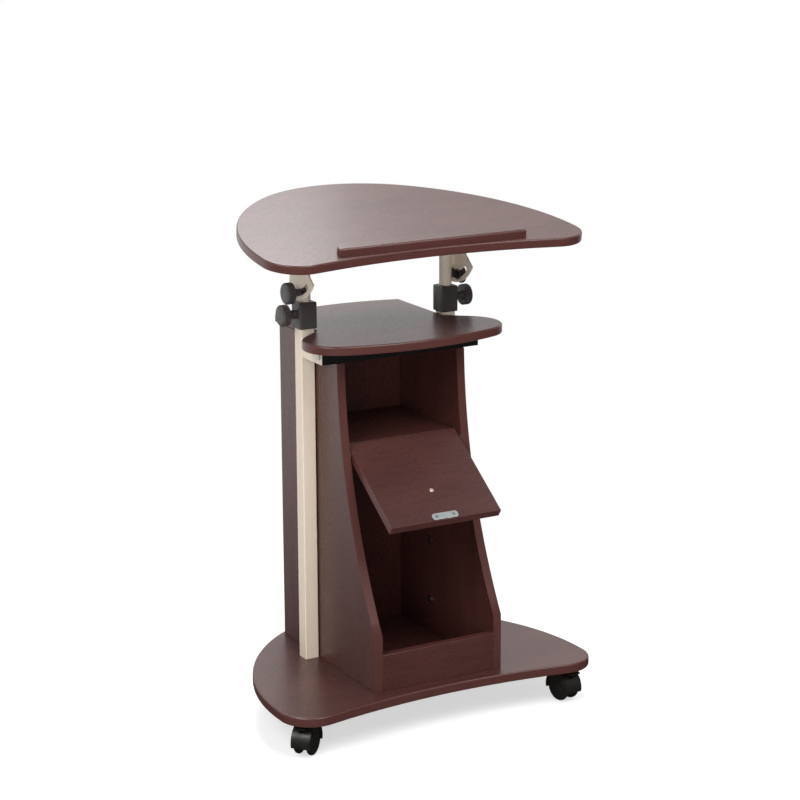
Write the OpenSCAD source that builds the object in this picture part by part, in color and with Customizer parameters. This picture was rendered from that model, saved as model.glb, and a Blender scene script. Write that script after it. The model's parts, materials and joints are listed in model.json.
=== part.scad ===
// Rolling laptop desk: a tilting top on two telescoping posts, beside an open
// hutch with a flap door, all on a shaped base with four hooded twin casters.
// Z = 0 is the floor and the front of the desk faces -Y. Local Y values are
// measured from the line through the two posts, and origin_y moves the desk
// so that its origin is the middle of its footprint.

/* [Boards] */
// Thickness of the boards above the base
board_t = 15; // [12:0.5:20]
// Thickness of the base board
base_t = 16; // [14:0.5:24]
// Radius of the base's round rear
base_rear_r = 233; // [225:1:245]
// Radius of the base's long side curves
base_side_r = 389.5; // [370:0.5:420]
// Radius of the base's front lobes
base_lobe_r = 54; // [48:0.5:60]
// Distance of the lobe centres from the middle of the base
base_lobe_x = 237.7; // [225:0.1:250]
// Distance of the lobe centres in front of the posts
base_lobe_y = 204.5; // [195:0.5:215]
// Distance of the rear curve's centre in front of the posts
base_rear_y = 68.5; // [60:0.5:80]
// Radius of the base's hollow front curve
base_front_r = 1144; // [950:2:1400]

/* [Table top] */
// Radius of the table top's round rear
top_rear_r = 233; // [225:1:245]
// Radius of the table top's long side curves
top_side_r = 385.5; // [370:0.5:420]
// Radius of the table top's front lobes
top_lobe_r = 56.6; // [50:0.2:62]
// Distance of the lobe centres from the middle
top_lobe_x = 233.3; // [225:0.1:245]
// Distance of the lobe centres in front of the tilt pivot
top_lobe_y = 161.3; // [155:0.1:170]
// Distance of the rear curve's centre in front of the tilt pivot
top_rear_y = 35; // [28:0.5:42]
// Radius of the table top's hollow front curve
top_front_r = 1248; // [1000:2:1500]
// Length of the stop ledge along the front edge
ledge_len = 343; // [260:1:380]
// Width of the stop ledge from front to back
ledge_w = 30; // [20:1:40]
// Height of the stop ledge
ledge_h = 12.5; // [8:0.5:20]
// Distance from the table top's front edge to the ledge
ledge_inset = 5.5; // [4:0.5:14]
// Radius of the ledge's rear corners
ledge_corner_r = 26; // [10:1:28]

/* [Hutch] */
// Outer width of the hutch
hutch_w = 242; // [220:1:250]
// Height of the hutch sides
hutch_h = 558; // [530:1:620]
// Distance from the base's rear edge to the hutch's rear edge
hutch_inset = 43; // [36:0.5:60]
// Distance from the posts forward to the foot of the hutch
hutch_foot = 209.5; // [200:0.5:215]
// Distance from the posts forward to the top of the hutch
hutch_nose = 86; // [82:0.5:92]
// Height of the straight foot of the sides' front edge
foot_h = 94.5; // [85:0.5:110]
// Height above the base at which the front edge is upright again
nose_h = 557; // [520:1:557]
// Height of the lip board
lip_h = 63; // [45:0.5:80]
// Height of the inner shelf's top above the base
inner_shelf_h = 390; // [370:1:410]
// Gap between the inner shelf and the swing of the door
shelf_gap = 0.6; // [0.4:0.1:3]

/* [Middle shelf] */
// Distance of the shelf's side lobe centres from the middle
shelf_lobe_x = 123; // [121:0.5:130]
// Distance of the lobe centres in front of the posts
shelf_lobe_y = 93.5; // [90:0.5:98]
// Radius of the side lobes
shelf_lobe_r = 58; // [52:0.5:64]
// Radius of the shelf's bulging front edge
shelf_front_r = 438; // [300:1:700]
// Overhang of the shelf's rear corners behind the hutch
shelf_over = 16; // [4:0.5:24]
// Bulge of the shelf's rear edge
shelf_bulge = 19; // [8:0.5:30]
// Distance in front of the posts at which the shelf starts to widen
shelf_neck = 17; // [15:0.5:19]

/* [Posts] */
// Width of the square post tube
post_w = 25; // [24.5:0.1:27]
// Wall of the post tube
post_wall = 1.5; // [1.2:0.1:1.6]
// Gap between the hutch and a post, filled by spacer washers
post_gap = 1.5; // [1:0.1:3]
// Outer diameter of the round inner tube
tube_d = 21.4; // [20:0.1:21.4]
// Width of the black collar
collar_w = 32; // [31:0.5:36]
// Height of the black collar
collar_h = 44.5; // [40:0.5:60]
// Gap between the middle shelf and the collar
collar_lift = 3; // [1:0.5:10]
// Thickness of the collar's top
collar_top_t = 5.5; // [3:0.5:8]
// Travel of the height adjustment
lift_travel = 290; // [150:5:300]
// Length of inner tube that stays in the post at full height
tube_hold = 100; // [70:5:105]

/* [Shelf arms] */
// Width of the square crossbar
bar_w = 25; // [20:0.5:27]
// Thickness of the arm brackets
arm_t = 3; // [2:0.5:4]
// Distance the crossbar's front stands in front of the posts
bar_front = 87; // [86.5:0.5:92]

/* [Tilt mechanism] */
// Tilt of the table top in the resting pose
rest_tilt = 7; // [0:0.5:20]
// Largest tilt of the table top
tilt_max = 29; // [22:1:35]
// Height of the table top's underside above the tilt pivot
pivot_drop = 37.7; // [30:0.1:50]
// Radius from the pivot to the middle of the slot
slot_r = 63.5; // [55:0.5:70]
// Width of the slot
slot_w = 11; // [9:0.5:14]
// Width of the bracket's rim outside the slot
rim_w = 7.5; // [5:0.5:10]
// Thickness of the bracket plate
bracket_t = 3; // [2:0.5:4]
// Angle of the clamping stud, forward of straight down
stud_angle = 18; // [14:1:24]
// Diameter of the clamping stud
stud_d = 6; // [5:0.5:8]
// Gap between the bracket's rim and the collar at the lowest height
rim_gap = 4; // [3:0.5:10]
// Gap between the inner tube and the bracket plate
bracket_gap = 2.8; // [1:0.1:6]

/* [Knobs] */
// Diameter of the fluted knobs
knob_d = 36; // [30:0.5:40]
// Thickness of the knob's disc
knob_t = 15; // [8:0.5:16]
// Length of the knob's neck
neck_len = 15; // [8:0.5:20]
// Neck diameter of the height knobs
height_neck_d = 15; // [12:0.5:18]
// Neck diameter of the tilt knob on the left
tilt_neck_d = 12; // [10.5:0.5:14]
// Diameter of the flat clamping nut on the right
tilt_nut_d = 31; // [28:0.5:34]
// Thickness of the flat clamping nut
tilt_nut_t = 5; // [4:0.5:8]
// Height of the height knob above the foot of the collar
height_knob_h = 24; // [20:0.5:26]

/* [Flap door] */
// Length of the door from its hinge edge to its free edge
door_len = 182.5; // [160:0.5:190]
// Gap between the door and each hutch side
door_gap = 3; // [1.5:0.1:4]
// Distance of the hinge pin from the hinge edge
pin_inset = 16.2; // [12:0.1:18]
// Height of the hinge pin below the top of the inner shelf
pin_drop = 13.6; // [10:0.1:14]
// Gap between the closed door and the crossbar
door_bar_gap = 1; // [0.6:0.1:2]
// Angle of the open door below the horizontal
door_open = 35; // [20:1:45]
// Diameter of the hinge pins
pin_d = 6; // [4:0.5:8]
// Length of the magnet plate
magnet_len = 48; // [30:1:60]
// Width of the magnet plate
magnet_w = 13; // [11:0.5:14]
// Distance from the door's free edge to the magnet plate
magnet_inset = 2; // [1.5:0.1:10]
// Distance from the door's free edge to the door knob
door_knob_inset = 62.5; // [40:0.5:90]
// Diameter of the door knob
door_knob_d = 26; // [20:0.5:32]

/* [Casters] */
// Height from the floor to the base
caster_h = 59; // [57:0.5:62]
// Diameter of the wheels
wheel_d = 49; // [46:0.5:50]
// Width of one wheel
wheel_w = 9; // [8.5:0.1:11]
// Width of the fork between the wheels
fork_w = 13.4; // [13:0.1:15]
// Distance of the axle behind the swivel stem
trail = 18; // [18:0.5:22]
// Diameter of the swivel stem
stem_d = 8; // [7:0.5:9]
// Direction in which the front left caster trails
turn_fl = -140; // [-180:1:180]
// Direction in which the front right caster trails
turn_fr = -83; // [-180:1:180]
// Direction in which the rear left caster trails
turn_rl = -118; // [-180:1:180]
// Direction in which the rear right caster trails
turn_rr = -95; // [-180:1:180]
// Distance of the rear casters from the middle
rear_caster_x = 130; // [110:1:145]
// Distance of the rear casters behind the posts
rear_caster_y = 70; // [50:1:80]

/* [Hidden] */
$fn = 48;

wood = "#43282a";
beige = "#d9cbb8";
black = "#232323";
steel = "#a9a9a6";
nickel = "#b9bdbb";
beech = "#d8b884";

// Clearances: a running shaft in its bore, a screw or dowel in its hole, two
// parts that slide past each other, and how far a cut runs past its face
running = 0.05;
snug = 0.03;
slide_gap = 0.3;
past = 1;

// Heights
base_top = caster_h + base_t;
hutch_top = base_top + hutch_h;
shelf_top = hutch_top + board_t;
inner_shelf_top = base_top + inner_shelf_h;
collar_z = shelf_top + collar_lift;
collar_top = collar_z + collar_h;
post_top = collar_top - collar_top_t;
rim_r = slot_r + slot_w / 2 + rim_w;
pivot_z = collar_top + rim_gap + rim_r;
top_under = pivot_z + pivot_drop;

// Places across the desk
panel_in = hutch_w / 2 - board_t;
panel_mid = hutch_w / 2 - board_t / 2;
post_x = hutch_w / 2 + post_gap + post_w / 2;
post_out = post_x + post_w / 2;
tube_r = tube_d / 2;
plate_x = post_x + tube_r + bracket_gap;
plate_out = plate_x + bracket_t;
collar_out = post_x + collar_w / 2;

// The footprint's middle, half way between the rear edge of the tilted table top
// and what stands furthest in front, a base lobe or the hood of a front caster
hood_gap = 1;
hood_wall = 2.5;
hood_inner_r = wheel_d / 2 + hood_gap;
hood_outer_r = hood_inner_r + hood_wall;
hood_w = fork_w + 2 * wheel_w + 1.5;
function hood_reach(turn) =
    base_lobe_y - (trail + hood_outer_r) * sin(turn) + hood_w / 2 * abs(cos(turn));
rear_reach = (top_rear_r - top_rear_y) * cos(rest_tilt) - pivot_drop * sin(rest_tilt);
front_reach = max(base_lobe_y + base_lobe_r, hood_reach(turn_fl), hood_reach(turn_fr));
origin_y = (front_reach - rear_reach) / 2;

// Front edge of the hutch sides: an arc that is upright at the nose
nose_rise = nose_h - foot_h;
nose_step = hutch_foot - hutch_nose;
nose_r = (nose_step * nose_step + nose_rise * nose_rise) / (2 * nose_step);

// Distance from the posts back to the hutch's rear edge
hutch_back = base_rear_r - base_rear_y - hutch_inset;

// Door hinge
pin_z = inner_shelf_top - pin_drop;
pin_y = -(bar_front + door_bar_gap + board_t / 2);
door_half = panel_in - door_gap;
tail_r = norm([pin_inset, board_t / 2]);
inner_shelf_front = pin_y + tail_r + shelf_gap;
door_swing = 90 + door_open;
bush_r = 6;
bush_len = 11;
bush_flange = 1;
key_r = 4.6;
key_angle = 30;

// Magnet plate, sunk into the inner face of the door, and the door knob. The
// closed door lays the plate against the crossbar.
magnet_t = 3;
magnet_proud = 0.7;
magnet_sink = magnet_t - magnet_proud;
magnet_corner_r = 5;
magnet_screw_r = 1.5;
magnet_screw_bite = 4;
magnet_head_t = 0.8;
magnet_screw_x = [8 - magnet_len / 2, magnet_len / 2 - 8];
knob_screw_r = 2;
knob_bite = 12;
magnet_z = door_len - pin_inset - magnet_inset - magnet_w / 2;
knob_z = door_len - pin_inset - door_knob_inset;

// Crossbar and arms
bar_top = hutch_top - arm_t;
bar_bottom = bar_top - bar_w;
bar_half = post_out - arm_t;
bar_wall = 1.5;
bar_end_t = 3;
arm_front = -bar_front + bar_wall;
arm_len = -post_w / 2 - arm_front;
notch_gap = 0.5;

// Fasteners
dowel_r = 4;
dowel_len = 30;
dowel_in_base = 11;
dowel_in_top = 9;
dowel_in_side = 10;
wood_screw_r = 2;
screw_r = 2.5;
screw_depth = 10;
screw_head_t = 2;
bolt_r = 4;
bolt_head_t = 5;
bolt_sink = 7;
plug_h = 20;
small_bolt_r = 3;
small_bolt_head_t = 3;
small_bolt_reach = 5;
washer_r = 8;
side_bolt_z = [base_top + 60, base_top + 170];

// Stud place, seen from the tilt pivot
stud_y = -slot_r * sin(stud_angle);
stud_z = -slot_r * cos(stud_angle);
stud_head_r = 6;
stud_head_t = 3;
clamp_r = 9;
clamp_t = 2.2;
block_half = 8;
block_foot = 49;
eye_r = 12;
saddle_in = post_x + tube_r - 8;
saddle_out = plate_x - slide_gap;
pin_head_r = 6.5;
pin_head_t = 4;

// Tilt bracket: its rear and front edges, the knee and bulge of its front edge,
// and the width of the flange under the table top
bracket_rear = 14;
bracket_front = 40;
bracket_knee = 14;
bulge_angle = 64;
flange_in = 28;

// Inner tube
tube_foot = post_top - tube_hold - lift_travel;
tube_wall = 1.5;
tube_head = 11;
guide_h = 14;
guide_spigot = 15;
post_bore = post_w - 2 * post_wall;

// Knobs and the flat nut: their grooves, and the nut's closed end
flute_count = 24;
flute_r = 1.5;
nut_cap_t = 1.5;

// Casters
wheel_r = wheel_d / 2;
axle_r = 3;
axle_depth = 6.5;
wheel_gap = 0.8;
insert_r = 6;
insert_len = 12;
insert_end_t = 1;
stem_depth = 23;
stem_collar = 1.5;
fork_top = caster_h - stem_collar - slide_gap;
fork_disc_r = 0.56 * wheel_r;
front_casters = [[-base_lobe_x, -base_lobe_y], [base_lobe_x, -base_lobe_y]];
rear_casters = [[-rear_caster_x, rear_caster_y], [rear_caster_x, rear_caster_y]];
lever_pin = [trail + 11, caster_h - 17];
lever_pin_r = 1.5;
lever_w = 5;
lever_blade_w = 20;

// Points along an arc, with both ends
function arc(c, r, from, to, n) =
    [for (i = [0:n]) let (a = from + (to - from) * i / n) c + r * [cos(a), sin(a)]];

// Where two circles meet, on the right of the line from the first to the second
function meet(p, rp, q, rq) =
    let (
        d = norm(q - p),
        e = (q - p) / d,
        a = (rp * rp - rq * rq + d * d) / (2 * d),
        h = sqrt(rp * rp - a * a)
    )
    p + a * e - h * [-e.y, e.x];

function mirrored(points) =
    concat(points, [for (i = [len(points) - 1:-1:0]) [-points[i].x, points[i].y]]);

// Outline of the base and the table top: tangent arcs round the rear, along the
// sides and round the front lobes, and a hollow arc between the lobes
function lobed_outline(rear_r, rear_y, side_r, lobe_x, lobe_y, lobe_r, front_r) =
    let (
        rear = [0, -rear_y],
        lobe = [lobe_x, -lobe_y],
        side = meet(rear, side_r - rear_r, lobe, side_r - lobe_r),
        reach = front_r + lobe_r,
        front = [0, -lobe_y - sqrt(reach * reach - lobe_x * lobe_x)],
        a_rear = atan2(rear.y - side.y, rear.x - side.x),
        a_lobe = atan2(lobe.y - side.y, lobe.x - side.x),
        a_end = atan2(front.y - lobe.y, front.x - lobe.x),
        a_front = atan2(lobe.y - front.y, lobe.x - front.x)
    )
    mirrored(concat(
        arc(rear, rear_r, 89, a_rear, 12),
        arc(side, side_r, a_rear - 3, a_lobe, 16),
        arc(lobe, lobe_r, a_lobe - 6, a_end, 15),
        arc(front, front_r, a_front + 2, 89.4, 5)
    ));

// Front middle of such an outline
function hollow_front(lobe_x, lobe_y, lobe_r, front_r) =
    let (reach = front_r + lobe_r) front_r - lobe_y - sqrt(reach * reach - lobe_x * lobe_x);

// Front edge of a hutch side at a height above the base
function side_front(h) =
    h < foot_h ? -hutch_foot
    : -hutch_nose - nose_r + sqrt(nose_r * nose_r - pow(min(nose_h, h) - nose_h, 2));

// Places of the dowels: [x, y] for the upright ones, [y, z] for the others
base_dowels = [for (s = [-1, 1], y = [-0.72 * hutch_foot, 0.5 * hutch_back]) [s * panel_mid, y]];
top_dowels = [for (s = [-1, 1], y = [-20, 0.75 * hutch_back]) [s * panel_mid, y]];
shelf_dowel_z = inner_shelf_top - board_t / 2;
back_dowel_y = hutch_back - board_t / 2;
lip_dowel_y = board_t / 2 - hutch_foot;
side_dowels = [
    [-40, shelf_dowel_z], [0.58 * hutch_back, shelf_dowel_z],
    [back_dowel_y, base_top + 0.25 * hutch_h], [back_dowel_y, base_top + 0.8 * hutch_h],
    [lip_dowel_y, base_top + lip_h / 2]
];
bracket_screws = [for (s = [-1, 1], x = [plate_x - 17, plate_x - 7], y = [-32, 5]) [s * x, y]];
ledge_y = hollow_front(top_lobe_x, top_lobe_y, top_lobe_r, top_front_r) + ledge_inset;
ledge_screws = [for (x = [-130, 0, 130]) [x, ledge_y + ledge_w / 2]];
shelf_screws = [for (s = [-1, 1], y = [-52, -40]) [s * post_x, y]];

module placed() {
    translate([0, origin_y, 0]) children();
}

// A shape drawn in the Y-Z plane and given its thickness along X
module slab_x(x, t) {
    translate([x, 0, 0]) rotate([90, 0, 90]) linear_extrude(t) children();
}

// Drawn for the right side of the desk, and mirrored to the left where s is -1
module to_side(s) {
    mirror([s < 0 ? 1 : 0, 0, 0]) children();
}

module rounded_square(w, r) {
    square([w, w - 2 * r], center = true);
    square([w - 2 * r, w], center = true);
    for (x = [-1, 1], y = [-1, 1]) {
        translate([x, y] * (w / 2 - r)) circle(r);
    }
}

module rod_x(r, from, to) {
    translate([from, 0, 0]) rotate([0, 90, 0]) cylinder(h = to - from, r = r);
}

module at_casters() {
    for (p = concat(front_casters, rear_casters)) translate([p.x, p.y, 0]) children();
}

// Table top parts are drawn untilted, from the tilt pivot, and tilted here
module tilted() {
    placed() translate([0, 0, pivot_z]) rotate([rest_tilt, 0, 0]) children();
}

// Door parts are drawn closed and upright, from the hinge pin, and opened here
module opened() {
    placed() translate([0, pin_y, pin_z]) rotate([door_swing, 0, 0]) children();
}

module base_panel() {
    color(wood) placed() difference() {
        translate([0, 0, caster_h]) linear_extrude(base_t)
            polygon(lobed_outline(base_rear_r, base_rear_y, base_side_r, base_lobe_x,
                base_lobe_y, base_lobe_r, base_front_r));
        at_casters() translate([0, 0, caster_h - past])
            cylinder(h = insert_len + past + snug, r = insert_r + snug);
        for (p = base_dowels) translate([p.x, p.y, base_top - dowel_in_base])
            cylinder(h = dowel_in_base + past, r = dowel_r + snug);
        for (s = [-1, 1]) translate([s * post_x, 0, caster_h - past]) {
            cylinder(h = base_t + 2 * past, r = bolt_r + snug);
            cylinder(h = bolt_sink + past, r = 2 * bolt_r + 1);
        }
    }
}

module side_panel(s) {
    bush_x = panel_in - past;
    color(wood) placed() difference() {
        slab_x(s > 0 ? panel_in : -hutch_w / 2, board_t) polygon(concat(
            [[hutch_back, hutch_top], [hutch_back, base_top], [-hutch_foot, base_top]],
            [for (i = [0:20]) let (h = foot_h + nose_rise * i / 20) [side_front(h), base_top + h]],
            [[-hutch_nose, hutch_top]]
        ));
        translate([-hutch_w, -bar_front - past, bar_bottom - notch_gap])
            cube([2 * hutch_w, bar_w + past + notch_gap, bar_w + arm_t + past + notch_gap]);
        for (p = base_dowels) translate([p.x, p.y, base_top - past])
            cylinder(h = dowel_len - dowel_in_base + past + snug, r = dowel_r + snug);
        for (p = top_dowels) translate([p.x, p.y, hutch_top - dowel_len + dowel_in_top - snug])
            cylinder(h = dowel_len, r = dowel_r + snug);
        for (p = side_dowels) translate([0, p.x, p.y]) to_side(s)
            rod_x(dowel_r + snug, 0, panel_in + dowel_in_side + snug);
        translate([0, pin_y, pin_z]) to_side(s)
            rod_x(bush_r + snug, bush_x, panel_in + bush_len + snug);
        for (z = side_bolt_z) translate([0, 0, z]) rod_x(small_bolt_r + snug, -hutch_w, hutch_w);
    }
}

module back_panel() {
    color(wood) placed() difference() {
        translate([-panel_in, hutch_back - board_t, base_top]) cube([2 * panel_in, board_t, hutch_h]);
        for (p = side_dowels) translate([0, p.x, p.y]) dowel_bores();
    }
}

// Bores in the two ends of a board that stands between the hutch sides
module dowel_bores() {
    depth = dowel_len - dowel_in_side + snug;
    rod_x(dowel_r + snug, -panel_in - past, -panel_in + depth);
    rod_x(dowel_r + snug, panel_in - depth, panel_in + past);
}

module lip_board() {
    color(wood) placed() difference() {
        translate([-panel_in, -hutch_foot, base_top]) cube([2 * panel_in, board_t, lip_h]);
        for (p = side_dowels) translate([0, p.x, p.y]) dowel_bores();
    }
}

module interior_shelf() {
    depth = hutch_back - board_t - inner_shelf_front;
    color(wood) placed() difference() {
        translate([-panel_in, inner_shelf_front, inner_shelf_top - board_t])
            cube([2 * panel_in, depth, board_t]);
        for (p = side_dowels) translate([0, p.x, p.y]) dowel_bores();
    }
}

// Right half of the middle shelf: bulging rear edge, straight neck, a slant that
// touches the side lobe, the lobe and the bulging front edge
function mid_shelf_half() =
    let (
        rear_y = hutch_back + shelf_over,
        rear_r = (pow(hutch_w / 2, 2) + shelf_bulge * shelf_bulge) / (2 * shelf_bulge),
        rear = [0, rear_y + shelf_bulge - rear_r],
        a_corner = acos(hutch_w / 2 / rear_r),
        neck = [hutch_w / 2, -shelf_neck],
        lobe = [shelf_lobe_x, -shelf_lobe_y],
        span = norm(neck - lobe),
        a_touch = atan2(neck.y - lobe.y, neck.x - lobe.x) - acos(shelf_lobe_r / span),
        reach = shelf_front_r - shelf_lobe_r,
        front = [0, lobe.y + sqrt(reach * reach - lobe.x * lobe.x)],
        a_front = atan2(lobe.y - front.y, lobe.x - front.x)
    )
    concat(
        arc(rear, rear_r, 89, a_corner, 5),
        [neck],
        arc(lobe, shelf_lobe_r, a_touch, a_front, 15),
        arc(front, shelf_front_r, a_front - 2, -89, 8)
    );

module mid_shelf() {
    color(wood) placed() difference() {
        translate([0, 0, hutch_top]) linear_extrude(board_t) polygon(mirrored(mid_shelf_half()));
        for (p = top_dowels) translate([p.x, p.y, hutch_top - past])
            cylinder(h = dowel_in_top + past + snug, r = dowel_r + snug);
        for (p = shelf_screws) translate([p.x, p.y, hutch_top - past])
            cylinder(h = screw_depth + past, r = screw_r + snug);
    }
}

module dowels() {
    color(beech) placed() {
        for (p = base_dowels) translate([p.x, p.y, base_top - dowel_in_base])
            cylinder(h = dowel_len, r = dowel_r);
        for (p = top_dowels) translate([p.x, p.y, hutch_top - dowel_len + dowel_in_top])
            cylinder(h = dowel_len, r = dowel_r);
        for (p = side_dowels, s = [-1, 1]) translate([0, p.x, p.y]) to_side(s)
            rod_x(dowel_r, panel_in - dowel_len + dowel_in_side, panel_in + dowel_in_side);
    }
}

module post(s) {
    color(beige) placed() translate([s * post_x, 0, 0]) difference() {
        translate([0, 0, base_top]) linear_extrude(post_top - base_top) difference() {
            rounded_square(post_w, 2);
            square(post_bore, center = true);
        }
        for (z = side_bolt_z) translate([0, 0, z]) to_side(s)
            rod_x(small_bolt_r + snug, -post_w, 0);
        translate([0, 0, collar_z + height_knob_h]) to_side(s)
            rod_x(bolt_r + running, 0, post_w);
    }
}

module post_plugs() {
    color(black) placed() for (s = [-1, 1]) translate([s * post_x, 0, base_top]) difference() {
        linear_extrude(plug_h) square(post_bore, center = true);
        translate([0, 0, -past]) cylinder(h = plug_h + 2 * past, r = bolt_r + snug);
    }
}

// Bolts up through the base into the plugs, bolts from inside the hutch into the
// posts, and the washers that keep the posts off the hutch
module post_fasteners() {
    color(steel) placed() {
        for (s = [-1, 1]) translate([s * post_x, 0, caster_h + bolt_sink]) {
            translate([0, 0, -bolt_head_t]) cylinder(h = bolt_head_t, r = 2 * bolt_r);
            cylinder(h = base_t - bolt_sink + 0.75 * plug_h, r = bolt_r);
        }
        for (s = [-1, 1], z = side_bolt_z) translate([0, 0, z]) to_side(s) {
            rod_x(2 * small_bolt_r, panel_in - small_bolt_head_t, panel_in);
            rod_x(small_bolt_r, panel_in, post_x - post_w / 2 + small_bolt_reach);
            difference() {
                rod_x(washer_r, hutch_w / 2, hutch_w / 2 + post_gap);
                rod_x(small_bolt_r + snug, 0, post_x);
            }
        }
    }
}

module arm(s) {
    color(beige) placed() to_side(s) difference() {
        union() {
            translate([bar_half, arm_front, bar_bottom]) cube([arm_t, arm_len, bar_w + arm_t]);
            translate([hutch_w / 2 + notch_gap, arm_front, bar_top])
                cube([post_out - hutch_w / 2 - notch_gap, arm_len, arm_t]);
        }
        translate([0, -bar_front + bar_w / 2, bar_bottom + bar_w / 2])
            rod_x(screw_r + snug, 0, post_out + past);
        for (p = shelf_screws) translate([abs(p.x), p.y, bar_top - past])
            cylinder(h = arm_t + 2 * past, r = screw_r + snug);
    }
}

// Square tube with closed ends, whose front wall reaches over the arms' front edges
module crossbar() {
    color(black) placed() translate([0, -bar_front + bar_w / 2, bar_bottom + bar_w / 2])
        difference() {
            union() {
                translate([-bar_half, 0, 0]) rotate([90, 0, 90]) linear_extrude(2 * bar_half)
                    rounded_square(bar_w, 2);
                translate([-post_out, 0, 0]) rotate([90, 0, 90]) linear_extrude(2 * post_out)
                    intersection() {
                        rounded_square(bar_w, 2);
                        translate([-bar_w / 2, -bar_w / 2]) square([bar_wall, bar_w]);
                    }
            }
            translate([-bar_half + bar_end_t, 0, 0]) rotate([90, 0, 90])
                linear_extrude(2 * bar_half - 2 * bar_end_t)
                    square(bar_w - 2 * bar_wall, center = true);
            for (s = [-1, 1]) to_side(s)
                rod_x(screw_r + snug, bar_half - bar_end_t - past, bar_half + past);
        }
}

// Screws through the arms into the crossbar's ends, and up into the middle shelf
module arm_screws() {
    color(steel) placed() for (s = [-1, 1]) to_side(s) {
        translate([0, -bar_front + bar_w / 2, bar_bottom + bar_w / 2]) {
            rod_x(screw_r, bar_half - screw_depth, post_out);
            rod_x(2 * screw_r, post_out, post_out + screw_head_t);
        }
        for (p = shelf_screws) if (p.x > 0) translate([p.x, p.y, bar_top]) {
            cylinder(h = arm_t + screw_depth - past, r = screw_r);
            translate([0, 0, -screw_head_t]) cylinder(h = screw_head_t, r = 2 * screw_r);
        }
    }
}

module collar(s) {
    color(black) placed() translate([s * post_x, 0, collar_z]) difference() {
        linear_extrude(collar_h) rounded_square(collar_w, 3);
        translate([0, 0, -past]) linear_extrude(collar_h - collar_top_t + past)
            rounded_square(post_w + 2 * snug, 2);
        cylinder(h = collar_h + past, r = tube_r + slide_gap);
        translate([0, 0, height_knob_h]) to_side(s)
            rod_x(bolt_r + running, 0, collar_w);
    }
}

// Bushes for the door pins. The key on each pin runs in a slot that stops the
// door when it is open and when it is closed.
module hinge_bushes() {
    color(black) placed() for (s = [-1, 1]) translate([0, pin_y, pin_z]) to_side(s)
        difference() {
            union() {
                rod_x(bush_r, panel_in, panel_in + bush_len);
                rod_x(bush_r + 2, panel_in - bush_flange, panel_in);
            }
            rod_x(pin_d / 2 + running, 0, panel_in + bush_len - 1);
            translate([panel_in + 3, 0, 0]) key_sector(key_r + running, bush_len - 4.5,
                -door_swing - 0.4, key_angle + door_swing + 0.8);
        }
}

// Part of a ring about the hinge pin, from an angle and over a turn
module key_sector(r, len, from, turn) {
    rotate([90, 0, 90]) rotate([0, 0, from]) rotate_extrude(angle = turn)
        translate([pin_d / 2 - 0.5, 0]) square([r - pin_d / 2 + 0.5, len]);
}

// Swivel stems with their collars, and the threaded inserts that hold them
module caster_stems() {
    color(steel) placed() at_casters() {
        translate([0, 0, caster_h - stem_depth])
            cylinder(h = stem_depth + insert_len - 2 * insert_end_t, r = stem_d / 2);
        translate([0, 0, caster_h - stem_collar]) cylinder(h = stem_collar, r = stem_d);
        difference() {
            translate([0, 0, caster_h + snug]) cylinder(h = insert_len - snug, r = insert_r);
            translate([0, 0, caster_h - past])
                cylinder(h = insert_len + past - insert_end_t, r = stem_d / 2 + snug);
        }
    }
}

module flap_door() {
    color(wood) opened() difference() {
        translate([-door_half, -board_t / 2, -pin_inset]) cube([2 * door_half, board_t, door_len]);
        for (s = [-1, 1]) to_side(s)
            rod_x(pin_d / 2 + snug, door_half - 12 - snug, door_half + past);
        translate([0, board_t / 2 - magnet_sink, magnet_z]) rotate([-90, 0, 0])
            linear_extrude(board_t) magnet_shape(snug);
        for (x = magnet_screw_x) translate([x, 0, magnet_z]) rotate([-90, 0, 0])
            cylinder(h = board_t, r = magnet_screw_r + snug);
        translate([0, -board_t, knob_z]) rotate([-90, 0, 0])
            cylinder(h = 2 * board_t, r = knob_screw_r + snug);
    }
}

// Outline of the magnet plate, grown by a clearance for its recess
module magnet_shape(grow) {
    r = magnet_corner_r;
    square([magnet_len - 2 * r, magnet_w + 2 * grow], center = true);
    square([magnet_len + 2 * grow, magnet_w - 2 * r], center = true);
    for (x = [-1, 1], y = [-1, 1])
        translate([x * (magnet_len / 2 - r), y * (magnet_w / 2 - r)]) circle(r + grow);
}

module door_pins() {
    color(steel) opened() for (s = [-1, 1]) to_side(s) {
        rod_x(pin_d / 2, door_half - 12, panel_in + bush_len - 1.5);
        translate([panel_in + 3.5, 0, 0]) key_sector(key_r, bush_len - 5.5, -door_swing, key_angle);
    }
}

module magnet_plate() {
    color(nickel) opened() translate([0, board_t / 2 - magnet_sink, magnet_z])
        rotate([-90, 0, 0]) difference() {
            linear_extrude(magnet_t) magnet_shape(0);
            for (x = magnet_screw_x) translate([x, 0, -past]) {
                cylinder(h = magnet_t + 2 * past, r = magnet_screw_r + snug);
                translate([0, 0, past + magnet_t - magnet_head_t])
                    cylinder(h = magnet_t, r = 2 * magnet_screw_r);
            }
        }
}

module door_screws() {
    color(steel) opened() {
        for (x = magnet_screw_x)
            translate([x, board_t / 2 - magnet_sink, magnet_z]) rotate([-90, 0, 0]) {
                translate([0, 0, magnet_t - magnet_head_t])
                    cylinder(h = magnet_head_t, r = 2 * magnet_screw_r - 0.1);
                translate([0, 0, -magnet_screw_bite])
                    cylinder(h = magnet_screw_bite + magnet_t / 2, r = magnet_screw_r);
            }
        translate([0, board_t / 2, knob_z]) rotate([-90, 0, 0]) {
            cylinder(h = 1.2, r = 2 * knob_screw_r);
            translate([0, 0, -board_t - knob_bite])
                cylinder(h = board_t + knob_bite, r = knob_screw_r);
        }
    }
}

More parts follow.
